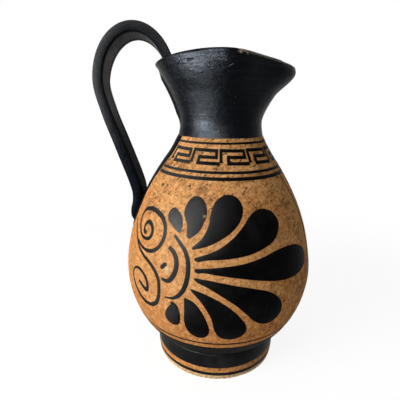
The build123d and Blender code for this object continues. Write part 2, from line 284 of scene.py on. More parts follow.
# %% Bare clay
def clay_colour(clay, flecks, haze, pitted):
    """The kiln's colour, with flecks, haze, smudges, streaks, pits and the worn edge over it in turn."""
    height, forward = clay.along("Z"), clay.along("X")
    streaks = clay.clouds(540, detail=3, roughness=0.62, stretch=(2.3, 1.4, 1), lean=WIPED)
    patches = clay.clouds(40, detail=3)
    kiln = clay.combine("ADD", clay.clouds(24, detail=3), clay.remap(height, *REDDER_BELOW, 0.22, 0),
                        clay.remap(height, *PALER_ABOVE, 0, -0.14))
    colour = clay.tint(clay.remap(kiln, 0.36, 0.64), PALE_CLAY, WARM_CLAY)
    colour = clay.tint(clay.remap(flecks, 0.39, 0.45, 0.72, 0), colour, CREAM_FLECK)
    colour = clay.tint(clay.remap(flecks, 0.54, 0.60, 0, 0.75), colour, RUST_FLECK)
    thick = clay.combine("MAXIMUM", clay.remap(height, *SHOULDER, 0.12, 0.85),
                         clay.remap(forward, *TO_SPOUT, 0.12, 0.9))
    thick = clay.combine("MULTIPLY", thick, clay.remap(patches, 0.38, 0.56, 0.35, 1))
    hazy = clay.combine("MULTIPLY", thick, clay.remap(haze, 0.51, 0.565, 0, 0.72))
    colour = clay.tint(hazy, colour, BROWN_HAZE)
    low = clay.combine("MINIMUM", clay.remap(height, *SMUDGED_BELOW, 0.8, 0.1),
                       clay.remap(height, *OFF_FOOT))
    smudged = clay.combine("MULTIPLY", low, clay.remap(forward, *OFF_HANDLE, 1, 0.1),
                           clay.remap(haze, 0.46, 0.55))
    colour = clay.tint(smudged, colour, RUST_SMUDGE)
    streaked = clay.combine("ADD", streaks, clay.combine("MULTIPLY", thick, 0.10))
    colour = clay.tint(clay.remap(streaked, 0.66, 0.70, 0, 0.9), colour, DARK_STREAK)
    colour = clay.tint(pitted, colour, DARK_PIT)
    smear = clay.combine("MULTIPLY", clay.near(HEART_SMEAR, SMEAR_RADIUS),
                         clay.remap(haze, 0.45, 0.62, 0.85, 0.2))
    colour = clay.tint(smear, colour, PALE_SMEAR)
    sandy = clay.combine("MULTIPLY", clay.remap(height, *RESTING_EDGE, 1, 0),
                         clay.remap(flecks, 0.45, 0.6, 1, 0.2))
    return clay.tint(sandy, colour, SANDY_EDGE)


def make_clay():
    clay = Finish("fired_clay", 0.62, 0.01)
    flecks = clay.clouds(460, detail=4, roughness=0.7)
    haze = clay.clouds(120, detail=8, roughness=0.78, stretch=(2.0, 1.2, 1), lean=WIPED)
    pitted = clay.remap(clay.clouds(560, detail=4, roughness=0.65), 0.66, 0.70)
    grain = clay.clouds(1500, detail=3)
    relief = clay.relief((grain, 0.35), (pitted, -1), (flecks, -0.5))
    colour = clay_colour(clay, flecks, haze, pitted)
    return clay.finish(colour, clay.remap(haze, 0.3, 0.75, 0.58, 0.74), relief, 0.25)


clay = make_clay()

# %% [markdown]
# The slip on the neck, the mouth and the handle was brushed on thick and has a satin shine. The brush
# went round with the wheel, so its streaks are long sideways and thin upwards, and the hand that pinched
# the lip left it a little dented. Grit shows as pale specks. The meshes carry values of their own, which
# could also be painted by hand: they say where the lip has lost chips, where its edge is rubbed grey and
# given a painted highlight, and where the strap is greyer on its inner face and its outer face, as thin and
# rubbed slip and as painted sheen. Zones in height and in X add painted shade to the strap's inside at the
# top of the arch and low on the limb, and keep its painted sheen to the upper limb and the back of the
# arch, towards the lamp.

# %% Brushed black slip
SLIP_BLACK = (0.0012, 0.0017, 0.0030)
SLIP_GREY = (0.0050, 0.0060, 0.0085)
STRAP_GREY = (0.0040, 0.0045, 0.0060)
# Grey of the strap's thin and rubbed slip, which also stands in for painted sheen.
STRAP_THIN_AND_SHEEN = (0.260, 0.262, 0.270)
SLIP_SPECK = (0.20, 0.18, 0.15)
CHIP_CREAM = (0.66, 0.50, 0.32)
# Grey of the rubbed lip, made light enough to stand in for the painted highlight along its rounded edge.
LIP_WEAR_AND_HIGHLIGHT = (0.30, 0.29, 0.24)
BLUE_SHINE = (0.80, 0.90, 1.0, 1)
# Heights where painted shade darkens the strap's inner face: low on the limb and at the top of the arch.
SHADED_INNER_LIMB, SHADED_INNER_ARCH = (0.178, 0.212), (0.238, 0.254)
# Height and X where the outer face's painted sheen fades in up the limb and is strongest at the back of the
# arch, towards the lamp.
SHEEN_UP_THE_LIMB, SHEEN_TOWARDS_LAMP = (0.168, 0.234), (-0.09, -0.065)


def make_brushed_slip(name, stretch, grey, gloss, roughness):
    slip = Finish(name, roughness, gloss)
    slip.shader.inputs["Specular Tint"].default_value = BLUE_SHINE
    streaks = slip.clouds(430, detail=4, roughness=0.6, stretch=stretch)
    dents = slip.clouds(120, detail=4, roughness=0.55)
    grain = slip.clouds(900, detail=4, roughness=0.6)
    specks = slip.clouds(760, detail=1)
    colour = slip.tint(slip.remap(streaks, 0.42, 0.72), SLIP_BLACK, grey)
    height = slip.along("Z")
    # Inner face: grey of thin slip and painted light, with painted shade low on the limb and at the arch's
    # top.
    inside = slip.combine("MULTIPLY", slip.painted("inside"), slip.remap(height, *SHADED_INNER_LIMB, 0.08, 1),
                          slip.remap(height, *SHADED_INNER_ARCH, 1, 0.45))
    # Outer face: rubbed grey and painted sheen, fading out low on the limb and away from the lamp.
    outside = slip.combine("MULTIPLY", slip.painted("outside"), slip.remap(height, *SHEEN_UP_THE_LIMB),
                           slip.remap(slip.along("X"), *SHEEN_TOWARDS_LAMP, 1, 0.5))
    thin = slip.combine("ADD", inside, outside)
    thin = slip.combine("MULTIPLY", thin, slip.remap(grain, 0.32, 0.66, 0.6, 1.25))
    colour = slip.tint(thin, colour, STRAP_THIN_AND_SHEEN)
    colour = slip.tint(slip.remap(specks, 0.785, 0.81), colour, SLIP_SPECK)
    # Lip edge: rubbed grey and a painted highlight in one.
    rubbed_and_highlight = slip.combine("MULTIPLY", slip.painted("wear"), slip.remap(grain, 0.40, 0.58, 0.15, 1))
    colour = slip.tint(rubbed_and_highlight, colour, LIP_WEAR_AND_HIGHLIGHT)
    flakes = slip.combine("MULTIPLY", slip.painted("chip"), slip.clouds(900, detail=3))
    chipped = slip.remap(flakes, 0.48, 0.51)
    colour = slip.tint(chipped, colour, CHIP_CREAM)
    relief = slip.relief((streaks, 0.45), (dents, 1.3), (grain, 0.3), (chipped, -0.5))
    varied = slip.remap(grain, 0.3, 0.7, roughness - 0.05, roughness + 0.1)
    return slip.finish(colour, varied, relief, 0.5)


neck_slip = make_brushed_slip("brushed_neck_slip", (12, 12, 1), SLIP_GREY, 0.036, 0.33)
strap_slip = make_brushed_slip("brushed_strap_slip", (2, 1, 2), STRAP_GREY, 0.003, 0.36)

# %% [markdown]
# The painted motifs and bands are the same slip in a thinner coat, flatter in shine, with faint brush
# clouds and a little grit. The petals next to the handle are painted grey, partly as the thinnest coat and
# partly as a painted sheen of the window lamp on them, and one of them has lost a flake at its edge. The
# lines of the heart and the spirals are a little greyer than the petals. The coat under the belly is
# browner and duller, and the foot's is glossier.

# %% Painted slip
# Grey of a thinner coat, which also stands in for a painted sheen of the window lamp on the petals by the
# handle.
THIN_SLIP_AND_SHEEN = (0.050, 0.050, 0.050)
PETAL_CHIP, FLAKE_RADIUS = (-9.05, -60.2, 138.6), 1.8
UPPER_PETALS, BY_HANDLE = (0.112, 0.128), (-0.028, -0.007)


def make_painted_slip(name, black, grey, roughness, thin=0.0, gloss=0.010):
    slip = Finish(name, roughness, gloss)
    brush = slip.clouds(70, detail=5, roughness=0.6)
    specks = slip.clouds(850, detail=1)
    grain = slip.clouds(1200, detail=2)
    colour = slip.tint(slip.remap(brush, 0.4, 0.72), black, grey)
    # The upper petals next to the handle are painted greyer: part thinner coat, part painted sheen; the
    # lines take a fifth of it.
    thinned_and_sheen = slip.combine("MULTIPLY", slip.remap(slip.along("Z"), *UPPER_PETALS), thin,
                           slip.remap(slip.along("X"), *BY_HANDLE, 1, 0),
                           slip.remap(grain, 0.3, 0.62, 0.45, 1))
    colour = slip.tint(thinned_and_sheen, colour, THIN_SLIP_AND_SHEEN)
    colour = slip.tint(slip.remap(specks, 0.80, 0.825), colour, SLIP_SPECK)
    flake = slip.combine("MULTIPLY", slip.near(PETAL_CHIP, FLAKE_RADIUS),
                         slip.remap(grain, 0.42, 0.58, 0, 0.7))
    colour = slip.tint(flake, colour, CHIP_CREAM)
    varied = slip.remap(brush, 0.3, 0.7, roughness - 0.06, roughness + 0.1)
    return slip.finish(colour, varied, slip.relief((brush, 0.5), (grain, 0.3)), 0.2)


motif_slip = make_painted_slip(
    "motif_slip", (0.0015, 0.0015, 0.0017), (0.0060, 0.0060, 0.0064), 0.42, thin=1.0)
line_slip = make_painted_slip(
    "line_slip", (0.0040, 0.0038, 0.0038), (0.012, 0.011, 0.0105), 0.45, thin=0.2)
dull_slip = make_painted_slip(
    "dull_belly_slip", (0.0085, 0.0085, 0.0075), (0.020, 0.020, 0.018), 0.55)
foot_slip = make_painted_slip(
    "foot_slip", (0.0085, 0.0085, 0.0092), (0.021, 0.021, 0.022), 0.36, gloss=0.03)

# %% [markdown]
# ## The belly
# A thrown pot is a solid of revolution. Its side is drawn once, from the underside out to the belly, up to
# the neck, over and back down the inner wall, and spun round the wheel's axis. A Screw modifier would do
# the same, but the spin operator gives a mesh that can be measured at once. The lower half is part of a
# sphere, so its points come from a formula, and only the shoulder needs points of its own.

# %% Body outline
body_wall = 5.0
floor_thickness = 7.0
sphere_stations = 9
shoulder_points = [
    (belly_radius - 3.4, belly_height + 26.6),
    (belly_radius - 9.8, belly_height + 47.7),
    (belly_radius - 19.9, belly_height + 69.0),
    (belly_radius - 29.7, belly_height + 84.8),
    (belly_radius - 37.1, belly_height + 95.5),
    (belly_radius - 42.6, seam_height),
]
lowest_angle = asin((body_low.z - belly_height) / belly_radius)
sphere_points = []
for station in range(sphere_stations + 1):
    angle = lowest_angle * (1 - station / sphere_stations)
    sphere_points.append((belly_radius * cos(angle), belly_height + belly_radius * sin(angle)))
body_side = smooth_line(sphere_points + shoulder_points)
side_heights, side_radii = [p.y for p in body_side], [p.x for p in body_side]


def body_radius(height):
    """Outer radius of the body at a height."""
    return float(np.interp(height, side_heights, side_radii))


def moved_inwards(side, amount):
    """A side line moved square to itself, towards the axis."""
    moved = []
    for before, point, after in zip(side, side[1:], side[2:]):
        along = (after - before).normalized()
        moved.append(point + Vector((-along.y, along.x)) * amount)
    return moved


print(f"body radius {body_radius(belly_height):.1f} to {body_radius(seam_height):.1f} under the neck")

# %% Spin a side line into a pot
merge_distance = 0.001
floor_chamfer = 1


def spun(side, steps=160, turn=2 * pi, closed=False):
    """A side line of (radius, height) spun round the Z axis, as a bmesh."""
    bm = bmesh.new()
    verts = [bm.verts.new((radius, 0, height)) for radius, height in side]
    edges = [bm.edges.new(pair) for pair in zip(verts, verts[1:])]
    if closed:
        edges.append(bm.edges.new((verts[-1], verts[0])))
    whole = turn == 2 * pi
    bmesh.ops.spin(bm, geom=verts + edges, cent=(0, 0, 0), axis=(0, 0, 1), dvec=(0, 0, 0),
                   angle=turn, steps=steps, use_merge=whole, use_duplicate=False)
    bmesh.ops.remove_doubles(bm, verts=bm.verts, dist=merge_distance)
    bmesh.ops.recalc_face_normals(bm, faces=bm.faces)
    return bm


floor_height = body_low.z + floor_thickness
inner_side = [p for p in moved_inwards(body_side, body_wall) if floor_height < p.y < seam_height]
inner_mouth = inner_side[-1].x
outline = [(0, body_low.z), *body_side, (inner_mouth, seam_height), *reversed(inner_side)]
outline += [(inner_side[0].x - floor_chamfer, floor_height), (0, floor_height)]
finish_piece("thrown_body", spun(outline), clay, "body")

# %% [markdown]
# ## The ring foot
# The foot is a separate ring of clay with a shallow swell, luted on under the belly. Its edges are soft
# from handling. A bevel could round them after the spin, but it would also touch the seat under the belly,
# so each worn corner of the outline gets a small round of its own before the spin.

# %% Foot
foot_ring_wall = 11.0
foot_edge = 1.0
swell_stations = 12


def foot_face(height):
    """Outer radius of the foot's shallow swell at a height."""
    share = 2 * height / foot_height - 1
    return foot_radius + foot_bulge * (1 - share * share)


def softened(corner, towards, away, radius=foot_edge, stations=4):
    """A corner of an outline with a round in place of its point."""
    point = Vector((*corner, 0))
    start = point + (Vector((*towards, 0)) - point).normalized() * radius
    end = point + (Vector((*away, 0)) - point).normalized() * radius
    return [p.xy for p in interpolate_bezier(start, point, point, end, stations)]


foot_inner = foot_radius - foot_ring_wall
tucked = 0.4
foot_top_inner = belly_height - sqrt((belly_radius - tucked) ** 2 - foot_inner**2)
swell_heights = np.linspace(2 * foot_edge, foot_height - 2 * foot_edge, swell_stations)
swell = [(foot_face(h), h) for h in swell_heights]
foot_top = softened((foot_face(foot_height), foot_height), swell[-1], (0, foot_height))
outline = [(foot_inner, foot_top_inner)]
outline += softened((foot_inner, 0), (foot_inner, foot_top_inner), (foot_radius, 0))
outline += softened((foot_face(0), 0), (foot_inner, 0), swell[0])
outline += swell + foot_top
outline.append((foot_radius - foot_ledge - tucked, foot_height))
finish_piece("ring_foot", spun(outline, closed=True), clay, "foot_ring")

# %% [markdown]
# ## The neck and the pinched mouth
# The mouth was thrown round and then pinched by hand, and the modelling goes the same way. A plain tube is
# spun first. Its radius only says how deep a point lies in the wall, and its height how far up it is. Then
# every point is carried to its place on the flaring, pinched mouth. It could be sculpted instead, but a
# short formula keeps the wall even and lets the folds below find the same surface again. Under the rim the
# fingers pressed the lobes and the spout more upright, so they swell and tuck in there, and the rim rises
# a little. The mesh also notes where the lip is chipped, and where it is rubbed and given a painted
# highlight along its edge, for its finish.

# %% Mouth formula
throat_radius = 31.0
throat_height = seam_height + 10.5
neck_radius = body_radius(seam_height)
mouth_radius = 52.4
flare_power = 1.4
spout_radius = 60.5
pinch_depth = 9.6
rim_arch_radius = 200.0
rim_rounds = 10
spout_lift = 1.8
lobe_lift = 1.1
lobe_rise, lobe_bulge, lobe_tuck = 25.0, 2.4, 5.0
spout_rise, spout_bulge = 22.0, 3.4
spout_lip_rise, spout_tuck = 12.0, 8.6
spout_top = rim_height - 3.7


def upright(top, height, rise):
    """From 0 to 1 over the last stretch below a top."""
    return min(1.0, max(0.0, 1 - (top - height) / rise))


def swelling(share):
    """A swell from 0 to 1 and back, which starts without a crease."""
    return sin(pi * share) * (1 - (1 - share) ** 4)


def outer_radius(turn, height):
    """Outside of the neck and mouth at an angle from the spout and a height."""
    if height < throat_height:
        share = (throat_height - height) / (throat_height - seam_height)
        return throat_radius + (neck_radius - throat_radius) * share * share
    opened = ((height - throat_height) / (rim_height - throat_height)) ** flare_power
    radius = throat_radius + opened * (mouth_radius - throat_radius)
    forward = cos(turn)
    if forward > 0:
        radius += opened * (spout_radius - mouth_radius) * forward**4
        radius -= opened * pinch_depth * sin(2 * turn) ** 2
    spout, lobe = max(0.0, forward) ** 6, sin(turn) ** 2
    lobe_up = upright(rim_height, height, lobe_rise)
    spout_up = upright(spout_top, height, spout_rise)
    spout_lip = upright(spout_top, height, spout_lip_rise)
    radius += lobe * (lobe_bulge * swelling(lobe_up) - lobe_tuck * lobe_up**3)
    return radius + spout * (spout_bulge * swelling(spout_up) - spout_tuck * spout_lip**3)


def rim_level(turn):
    """Height of the arched rim at an angle from the spout."""
    height = rim_height
    for _ in range(rim_rounds):
        across = outer_radius(turn, height) * cos(turn)
        height = rim_height - rim_arch_radius + sqrt(rim_arch_radius**2 - across**2)
    return height


print(f"rim at the spout {rim_level(0):.1f}, at the sides {rim_level(pi / 2):.1f}")

# %% Mouth mesh
tube_radius = 100.0
mouth_wall = 4.6
mouth_rings, mouth_steps = 44, 240
lip = [(0.0, 3.0), (-0.3, 2.3), (-0.35, 1.5), (0.0, 0.6), (0.7, 0.1), (3.2, 0.0), (4.2, 0.5), (4.6, 1.6)]
outer_skin, lip_skin = 0.1, 1.0
spine_width, spine_edge, spine_thickness = 15.0, 2.5, 2.0
spine_top = rim_height - 9.0
spine_levels = (throat_height - 4, throat_height + 5, spine_top - 6, spine_top)
chip_turns = {-83.5: 0.8, -76.5: 3.4, -70.0: 2.8, -65.0: 1.6, -59.5: 1.4}
chip_depth = 3.2
chip_drops, chip_levels = (0.8, 1.5, 3.0), (1.1, 0.95, 0.86)
# The lip's top edge, rubbed and given a painted highlight, from the near side to the spout.
worn_lit_from, worn_lit_to, worn_lit_depth = -78, 8, 1.6


def spine(turn, height):
    """How far the rib of clay on the back stands out, at an angle from the spout and a height."""
    aside = abs(abs(turn) - pi) * outer_radius(pi, height)
    across = np.interp(aside, (spine_width / 2 - spine_edge, spine_width / 2), (1, 0))
    return spine_thickness * across * np.interp(height, spine_levels, (0, 1, 1, 0))


def at_mouth(point):
    """Carries a point of the plain tube to the pinched mouth."""
    turn = atan2(point.y, point.x)
    inset = tube_radius - hypot(point.x, point.y)
    forward = max(0.0, cos(turn))
    height = point.z
    if height > throat_height:
        top = rim_level(turn) + spout_lift * forward**8 + lobe_lift * (1 - forward**3)
        share = (height - throat_height) / (rim_height - throat_height)
        height = throat_height + share * (top - throat_height)
    radius = outer_radius(turn, height) - inset
    if inset < outer_skin:
        radius += spine(turn, height)
    return Vector((radius * cos(turn), radius * sin(turn), height))


def make_mouth():
    levels = np.linspace(seam_height, rim_height - lip[0][1], mouth_rings)
    side = [(tube_radius, level) for level in levels]
    side += [(tube_radius - inset, rim_height - drop) for inset, drop in lip]
    side += [(tube_radius - mouth_wall, level) for level in reversed(levels)]
    bm = spun(side, mouth_steps, closed=True)
    chip, wear = bm.verts.layers.float.new("chip"), bm.verts.layers.float.new("wear")
    for vert in bm.verts:
        turn, inset = degrees(atan2(vert.co.y, vert.co.x)), tube_radius - hypot(vert.co.x, vert.co.y)
        drop = rim_height - vert.co.z
        if drop < chip_depth and inset < lip_skin:
            loss = max(1.0 - (abs(turn - centre) / reach) ** 4 for centre, reach in chip_turns.items())
            vert[chip] = loss * np.interp(drop, chip_drops, chip_levels)
        if drop < worn_lit_depth and inset < lip_skin and worn_lit_from < turn < worn_lit_to:
            vert[wear] = 1.0
        vert.co = at_mouth(vert.co)
    bmesh.ops.recalc_face_normals(bm, faces=bm.faces)
    return bm


finish_piece("pinched_mouth", make_mouth(), neck_slip, "neck_mouth")

# %% [markdown]
# ## The strap handle
# A pulled strap keeps one section along its whole length: a flat bar with crisp edges. A curve with a bevel
# shape could make it, but then no ring could be pressed or rolled by itself. So the section is drawn once,
# as a ring of edges, extruded from station to station and carried there by one matrix. The path is half an
# ellipse over the rim and a leaning limb, whose end is thumbed on to the shoulder. The soft clay leaned a
# little to one side at the top of its arch, so the section rolls there about its near edge. The first ring
# also carries how grey the inner and the outer face are, as thin and rubbed slip and as painted sheen, and
# the extrusion copies that along.

# %% Strap path
strap_width = strap_high.y - strap_low.y
strap_thickness = 7.0
springing_height = 223.4
landing_reach = 36.6
handle_reach = -strap_low.x - strap_thickness / 2
arch_stations = 15
limb_points = [
    (-86.6, 202.5), (-78.6, 180.4), (-72.4, 163.5), (-67.4, 149.4), (-65.2, 141.0), (-65.2, 132.8),
    (-67.0, 124.4), (-66.6, 118.6), (-63.4, 112.6),
]
path_steps = 5
arch_lean = radians(10)


def strap_path():
    middle = (landing_reach + handle_reach) / 2
    half_span = (handle_reach - landing_reach) / 2
    rise = strap_high.z - strap_thickness / 2 - springing_height
    arch = []
    for station in range(arch_stations + 1):
        angle = pi * station / arch_stations
        arch.append((-middle + half_span * cos(angle), springing_height + rise * sin(angle)))
    return smooth_line(arch + limb_points, steps=path_steps)


print("stations along the strap:", len(strap_path()))

# %% Strap mesh
half_width = strap_width / 2
press_heights = (112, 120, 130, 145, 170, 205, 225)
press_shares = (0.5, 0.95, 1.0, 1.12, 1.12, 1.0, 1.0)
spread_heights, spread_shares = (112, 122, 136, 152), (0.72, 1.06, 1.0, 1.0)
inner_face, near_ridge = -3.0, -6.5
# Rubbed grey and painted sheen across the near face: full at its outer edge, half on the outer face, near
# none at the inner corner, which leaves a painted shade line there.
rubbed_and_sheen_edge, sheen_across, sheen_shares = 0.36, (-2.9, 2.7, 3.7), (0.04, 1, 0.5)
strap_section = [
    (3.6, 8.6), (3.45, 9.7), (3.1, 10.3), (2.7, 10.5), (0.0, 10.55), (-2.9, 10.5), (-3.35, 10.35),
    (-3.5, 9.9), (-3.1, 9.1), (-2.95, 8.2), (-3.15, 7.0), (-3.3, 5.0),
]


def section_ring():
    """Section of the strap, as (outwards, across), with the far half mirrored."""
    near = [(out, -across) for out, across in strap_section]
    middle_out, middle_in = (3.8, 0.0), (-3.3, 0.0)
    return [middle_out, *near, middle_in, *reversed(strap_section)]


def station_matrix(path, index):
    """Where the section stands at a station of the path, and how it is turned and pressed there."""
    before, after = path[max(index - 1, 0)], path[min(index + 1, len(path) - 1)]
    along = (after - before).normalized()
    outwards = Vector((along.y, 0, -along.x))
    height = path[index].y
    pressed = np.interp(height, press_heights, press_shares)
    spread = np.interp(height, spread_heights, spread_shares)
    lean = arch_lean * max(0.0, sin(pi * min(1.0, index / (arch_stations * path_steps))))
    across = Vector((0, cos(lean), 0)) - outwards * sin(lean)
    centre = Vector((path[index].x, 0, height)) - outwards * half_width * sin(lean)
    leaned = outwards * cos(lean) + Vector((0, sin(lean), 0))
    turn = Matrix((leaned * pressed, across * spread, (along.x, 0, along.y))).transposed()
    return Matrix.Translation(centre) @ turn.to_4x4()


def make_strap():
    path = strap_path()
    bm = bmesh.new()
    inside, outside = bm.verts.layers.float.new("inside"), bm.verts.layers.float.new("outside")
    ring = [bm.verts.new((out, across, 0)) for out, across in section_ring()]
    for vert in ring:
        # The ring's points carry the inner face's grey and the outer face's rubbed grey and painted sheen.
        vert[inside] = float(vert.co.x < inner_face and vert.co.y > near_ridge)
        vert[outside] = rubbed_and_sheen_edge * np.interp(vert.co.x, sheen_across, sheen_shares)
    edges = [bm.edges.new(pair) for pair in zip(ring, ring[1:] + ring[:1])]
    bm.faces.new(ring)
    placed = station_matrix(path, 0)
    bmesh.ops.transform(bm, matrix=placed, verts=ring)
    for index in range(1, len(path)):
        grown = bmesh.ops.extrude_edge_only(bm, edges=edges)["geom"]
        edges = [part for part in grown if isinstance(part, bmesh.types.BMEdge)]
        carried = [part for part in grown if isinstance(part, bmesh.types.BMVert)]
        next_place = station_matrix(path, index)
        bmesh.ops.transform(bm, matrix=next_place @ placed.inverted(), verts=carried)
        placed = next_place
    bmesh.ops.holes_fill(bm, edges=edges, sides=0)
    bmesh.ops.recalc_face_normals(bm, faces=bm.faces)
    return bm


finish_piece("strap_handle", make_strap(), strap_slip, "handle")

# %% [markdown]
# ## Laying paint on the belly
# A motif is drawn flat, in millimetres round the belly and up it, counted from the middle of the near side.
# Wrapping turns the first number into an angle and takes the radius from the body's own outline, so the
# paint follows the clay. A Shrinkwrap modifier could lay it there too, but would stretch the drawing. Each
# coat is a thin closed skin whose underside lies just inside the clay, as a real layer of slip does.

# %% Wrapping
coat_thickness = 0.28
coat_edge = 0.12
coat_under = -0.15
grid_step, cut_distance = 2.4, 0.0001


def on_clay(around, height, lift, turn_radius=belly_radius):
    """Point on the body, lifted off the clay: around is counted from -Y towards +X."""
    turn = around / turn_radius
    radius = body_radius(height) + lift
    return Vector((radius * sin(turn), -radius * cos(turn), height))


def wrapped(bm, turn_radius=belly_radius, place=on_clay, crest=coat_thickness, edge_lift=coat_edge):
    """Gives a flat drawing its thickness and wraps it on the body, or on another surface."""
    edge_verts = {vert for edge in bm.edges if edge.is_boundary for vert in edge.verts}
    lifts = {vert: edge_lift if vert in edge_verts else crest for vert in bm.verts}
    bmesh.ops.extrude_face_region(bm, geom=bm.faces[:], use_keep_orig=True)
    for vert in bm.verts:
        vert.co = place(vert.co.x, vert.co.y, lifts.get(vert, coat_under), turn_radius)
    bmesh.ops.recalc_face_normals(bm, faces=bm.faces)


def cut_to_grid(bm):
    """Cuts flat faces into small ones, so that they can follow the belly's curve."""
    for axis in (0, 1):
        places = [vert.co[axis] for vert in bm.verts]
        normal = Vector((axis == 0, axis == 1, 0))
        for place in np.arange(min(places) + grid_step, max(places), grid_step):
            bmesh.ops.bisect_plane(bm, geom=bm.verts[:] + bm.edges[:] + bm.faces[:], dist=cut_distance,
                                   plane_co=normal * float(place), plane_no=normal)


def join(bm, part):
    """Adds one bmesh to another."""
    mesh = bpy.data.meshes.new("drawing")
    part.to_mesh(mesh)
    part.free()
    bm.from_mesh(mesh)
    bpy.data.meshes.remove(mesh)


def patch(bm, outline, closed=True, steps=5):
    """A filled patch of slip inside a smooth outline, with a small blunt tip if its line is open."""
    part = bmesh.new()
    line = smooth_line(outline, closed, steps)
    part.faces.new([part.verts.new((*point, 0)) for point in line])
    cut_to_grid(part)
    join(bm, part)


def painted_pair(name, bm, material, node):
    """A motif on the near side, and the same painting mirrored on the +Y side."""
    near = finish_piece(name + "_near", bm, material, node + "_near")
    far = bmesh.new()
    far.from_mesh(near.data)
    bmesh.ops.scale(far, vec=(1 / MM, -1 / MM, 1 / MM), verts=far.verts)
    bmesh.ops.reverse_faces(far, faces=far.faces)
    finish_piece(name + "_far", far, material, node + "_far")


print(f"a coat of slip is {coat_thickness} mm thick, cut every {grid_step} mm")

# %% [markdown]
# ## The palmette
# Nine petals spread from the heart of the palmette towards the spout. Each is a drop with its own bend, so
# each has its own short outline. A filled curve would give long thin triangles that cut into the round
# belly, so the outline becomes one face and is cut to a grid. It starts and ends at the petal's tip and is
# left open there, so the tip stays narrow.

# %% Petals
petals = [
    [(-29.6, 126.8), (-31.2, 127.0), (-36.9, 130.1), (-42.2, 133.4), (-43.3, 137.4), (-39.4, 141.2),
     (-33.7, 139.5), (-29.2, 135.9), (-27.9, 131.6), (-28.5, 127.6)],
    [(-22.6, 124.6), (-23.3, 126.4), (-24.3, 131.8), (-28.8, 139.7), (-26.8, 146.3), (-19.3, 149.8),
     (-11.8, 146.7), (-9.3, 141.8), (-9.9, 136.2), (-11.0, 134.4), (-11.5, 132.8), (-14.2, 128.9),
     (-20.6, 124.0)],
    [(-18.4, 118.8), (-10.7, 126.0), (-7.0, 133.8), (-6.0, 140.7), (-2.9, 147.0), (3.6, 150.6),
     (11.4, 151.2), (18.0, 148.6), (20.9, 143.2), (18.6, 137.0), (11.7, 130.3), (2.2, 124.7),
     (-7.5, 120.4), (-17.4, 117.6)],
    [(-15.2, 112.9), (1.6, 119.5), (11.5, 125.9), (20.3, 133.2), (25.9, 138.4), (33.2, 141.6),
     (41.9, 141.5), (49.7, 137.6), (52.5, 131.8), (50.1, 126.8), (43.1, 121.1), (33.9, 117.8),
     (22.0, 115.0), (7.6, 113.2), (-7.0, 112.0), (-14.6, 110.9), (-15.8, 111.7)],
    [(-14.4, 106.0), (4.0, 108.2), (18.6, 109.9), (30.7, 112.1), (45.0, 115.0), (59.1, 115.5),
     (72.8, 112.2), (81.6, 105.3), (82.2, 98.8), (73.8, 94.5), (61.8, 93.3), (48.6, 94.2),
     (33.9, 97.1), (18.4, 100.3), (4.1, 102.5), (-8.7, 103.9), (-14.0, 103.7), (-15.3, 104.7)],
    [(-14.5, 100.2), (-2.9, 99.2), (11.2, 96.6), (25.9, 93.0), (38.1, 88.4), (45.7, 82.0), (49.1, 75.0),
     (47.6, 68.0), (41.6, 64.0), (32.8, 65.0), (26.5, 68.9), (21.2, 74.7), (12.9, 82.8), (3.0, 89.7),
     (-6.2, 94.9), (-13.8, 98.2), (-15.2, 99.3)],
    [(-16.4, 92.6), (-10.4, 91.2), (-0.4, 87.2), (9.5, 80.7), (17.0, 72.7), (21.5, 65.2), (22.0, 60.0),
     (17.9, 54.8), (10.2, 53.3), (2.9, 56.1), (-0.4, 61.9), (-2.5, 71.8), (-7.2, 80.8), (-13.1, 88.0),
     (-16.0, 90.7), (-17.0, 91.8)],
    [(-20.5, 85.8), (-14.8, 83.6), (-9.3, 77.3), (-5.7, 69.4), (-4.0, 62.3), (-5.2, 57.0), (-9.9, 53.5),
     (-16.0, 54.9), (-20.2, 60.2), (-21.5, 66.5), (-21.2, 75.8), (-21.3, 84.8)],
    [(-29.6, 80.7), (-26.9, 79.3), (-24.8, 74.2), (-24.4, 68.4), (-26.1, 63.0), (-29.2, 61.2),
     (-33.6, 62.2), (-36.6, 66.8), (-35.6, 71.4), (-32.6, 76.6), (-31.3, 78.2), (-31.6, 80.0),
     (-30.6, 80.4)],
]


def make_palmette():
    bm = bmesh.new()
    for outline in petals:
        patch(bm, outline, closed=False)
    wrapped(bm)
    return bm


painted_pair("palmette_petals", make_palmette(), motif_slip, "palmette")

# %% [markdown]
# ## Brush strokes
# The spirals, the heart of the palmette and the key are drawn with a brush: a line with a width that swells
# and thins. A curve with a taper could draw it, but its mesh is round. Here a flat grid is bent along the
# line: its length says how far along the stroke a point lies, and its breadth on which side.

# %% Strokes and the heart
steepest_mitre = 0.5


def stroke(bm, line, widths):
    """A brush stroke along a line; widths are spaced evenly from its start to its end."""
    part = bmesh.new()
    count = len(line)
    bmesh.ops.create_grid(part, x_segments=count - 1, y_segments=2, size=1)
    for vert in part.verts:
        share, side = (vert.co.x + 1) / 2, vert.co.y
        index = round(share * (count - 1))
        forth = (line[min(index + 1, count - 1)] - line[index]).normalized()
        back = (line[index] - line[max(index - 1, 0)]).normalized()
        along = (forth + back).normalized()
        square = Vector((-along.y, along.x))
        mitre = max(steepest_mitre, along.dot(forth if forth.length else back))
        width = np.interp(share, np.linspace(0, 1, len(widths)), widths)
        vert.co = (line[index] + square * (side * width / 2 / mitre)).to_3d()
    join(bm, part)


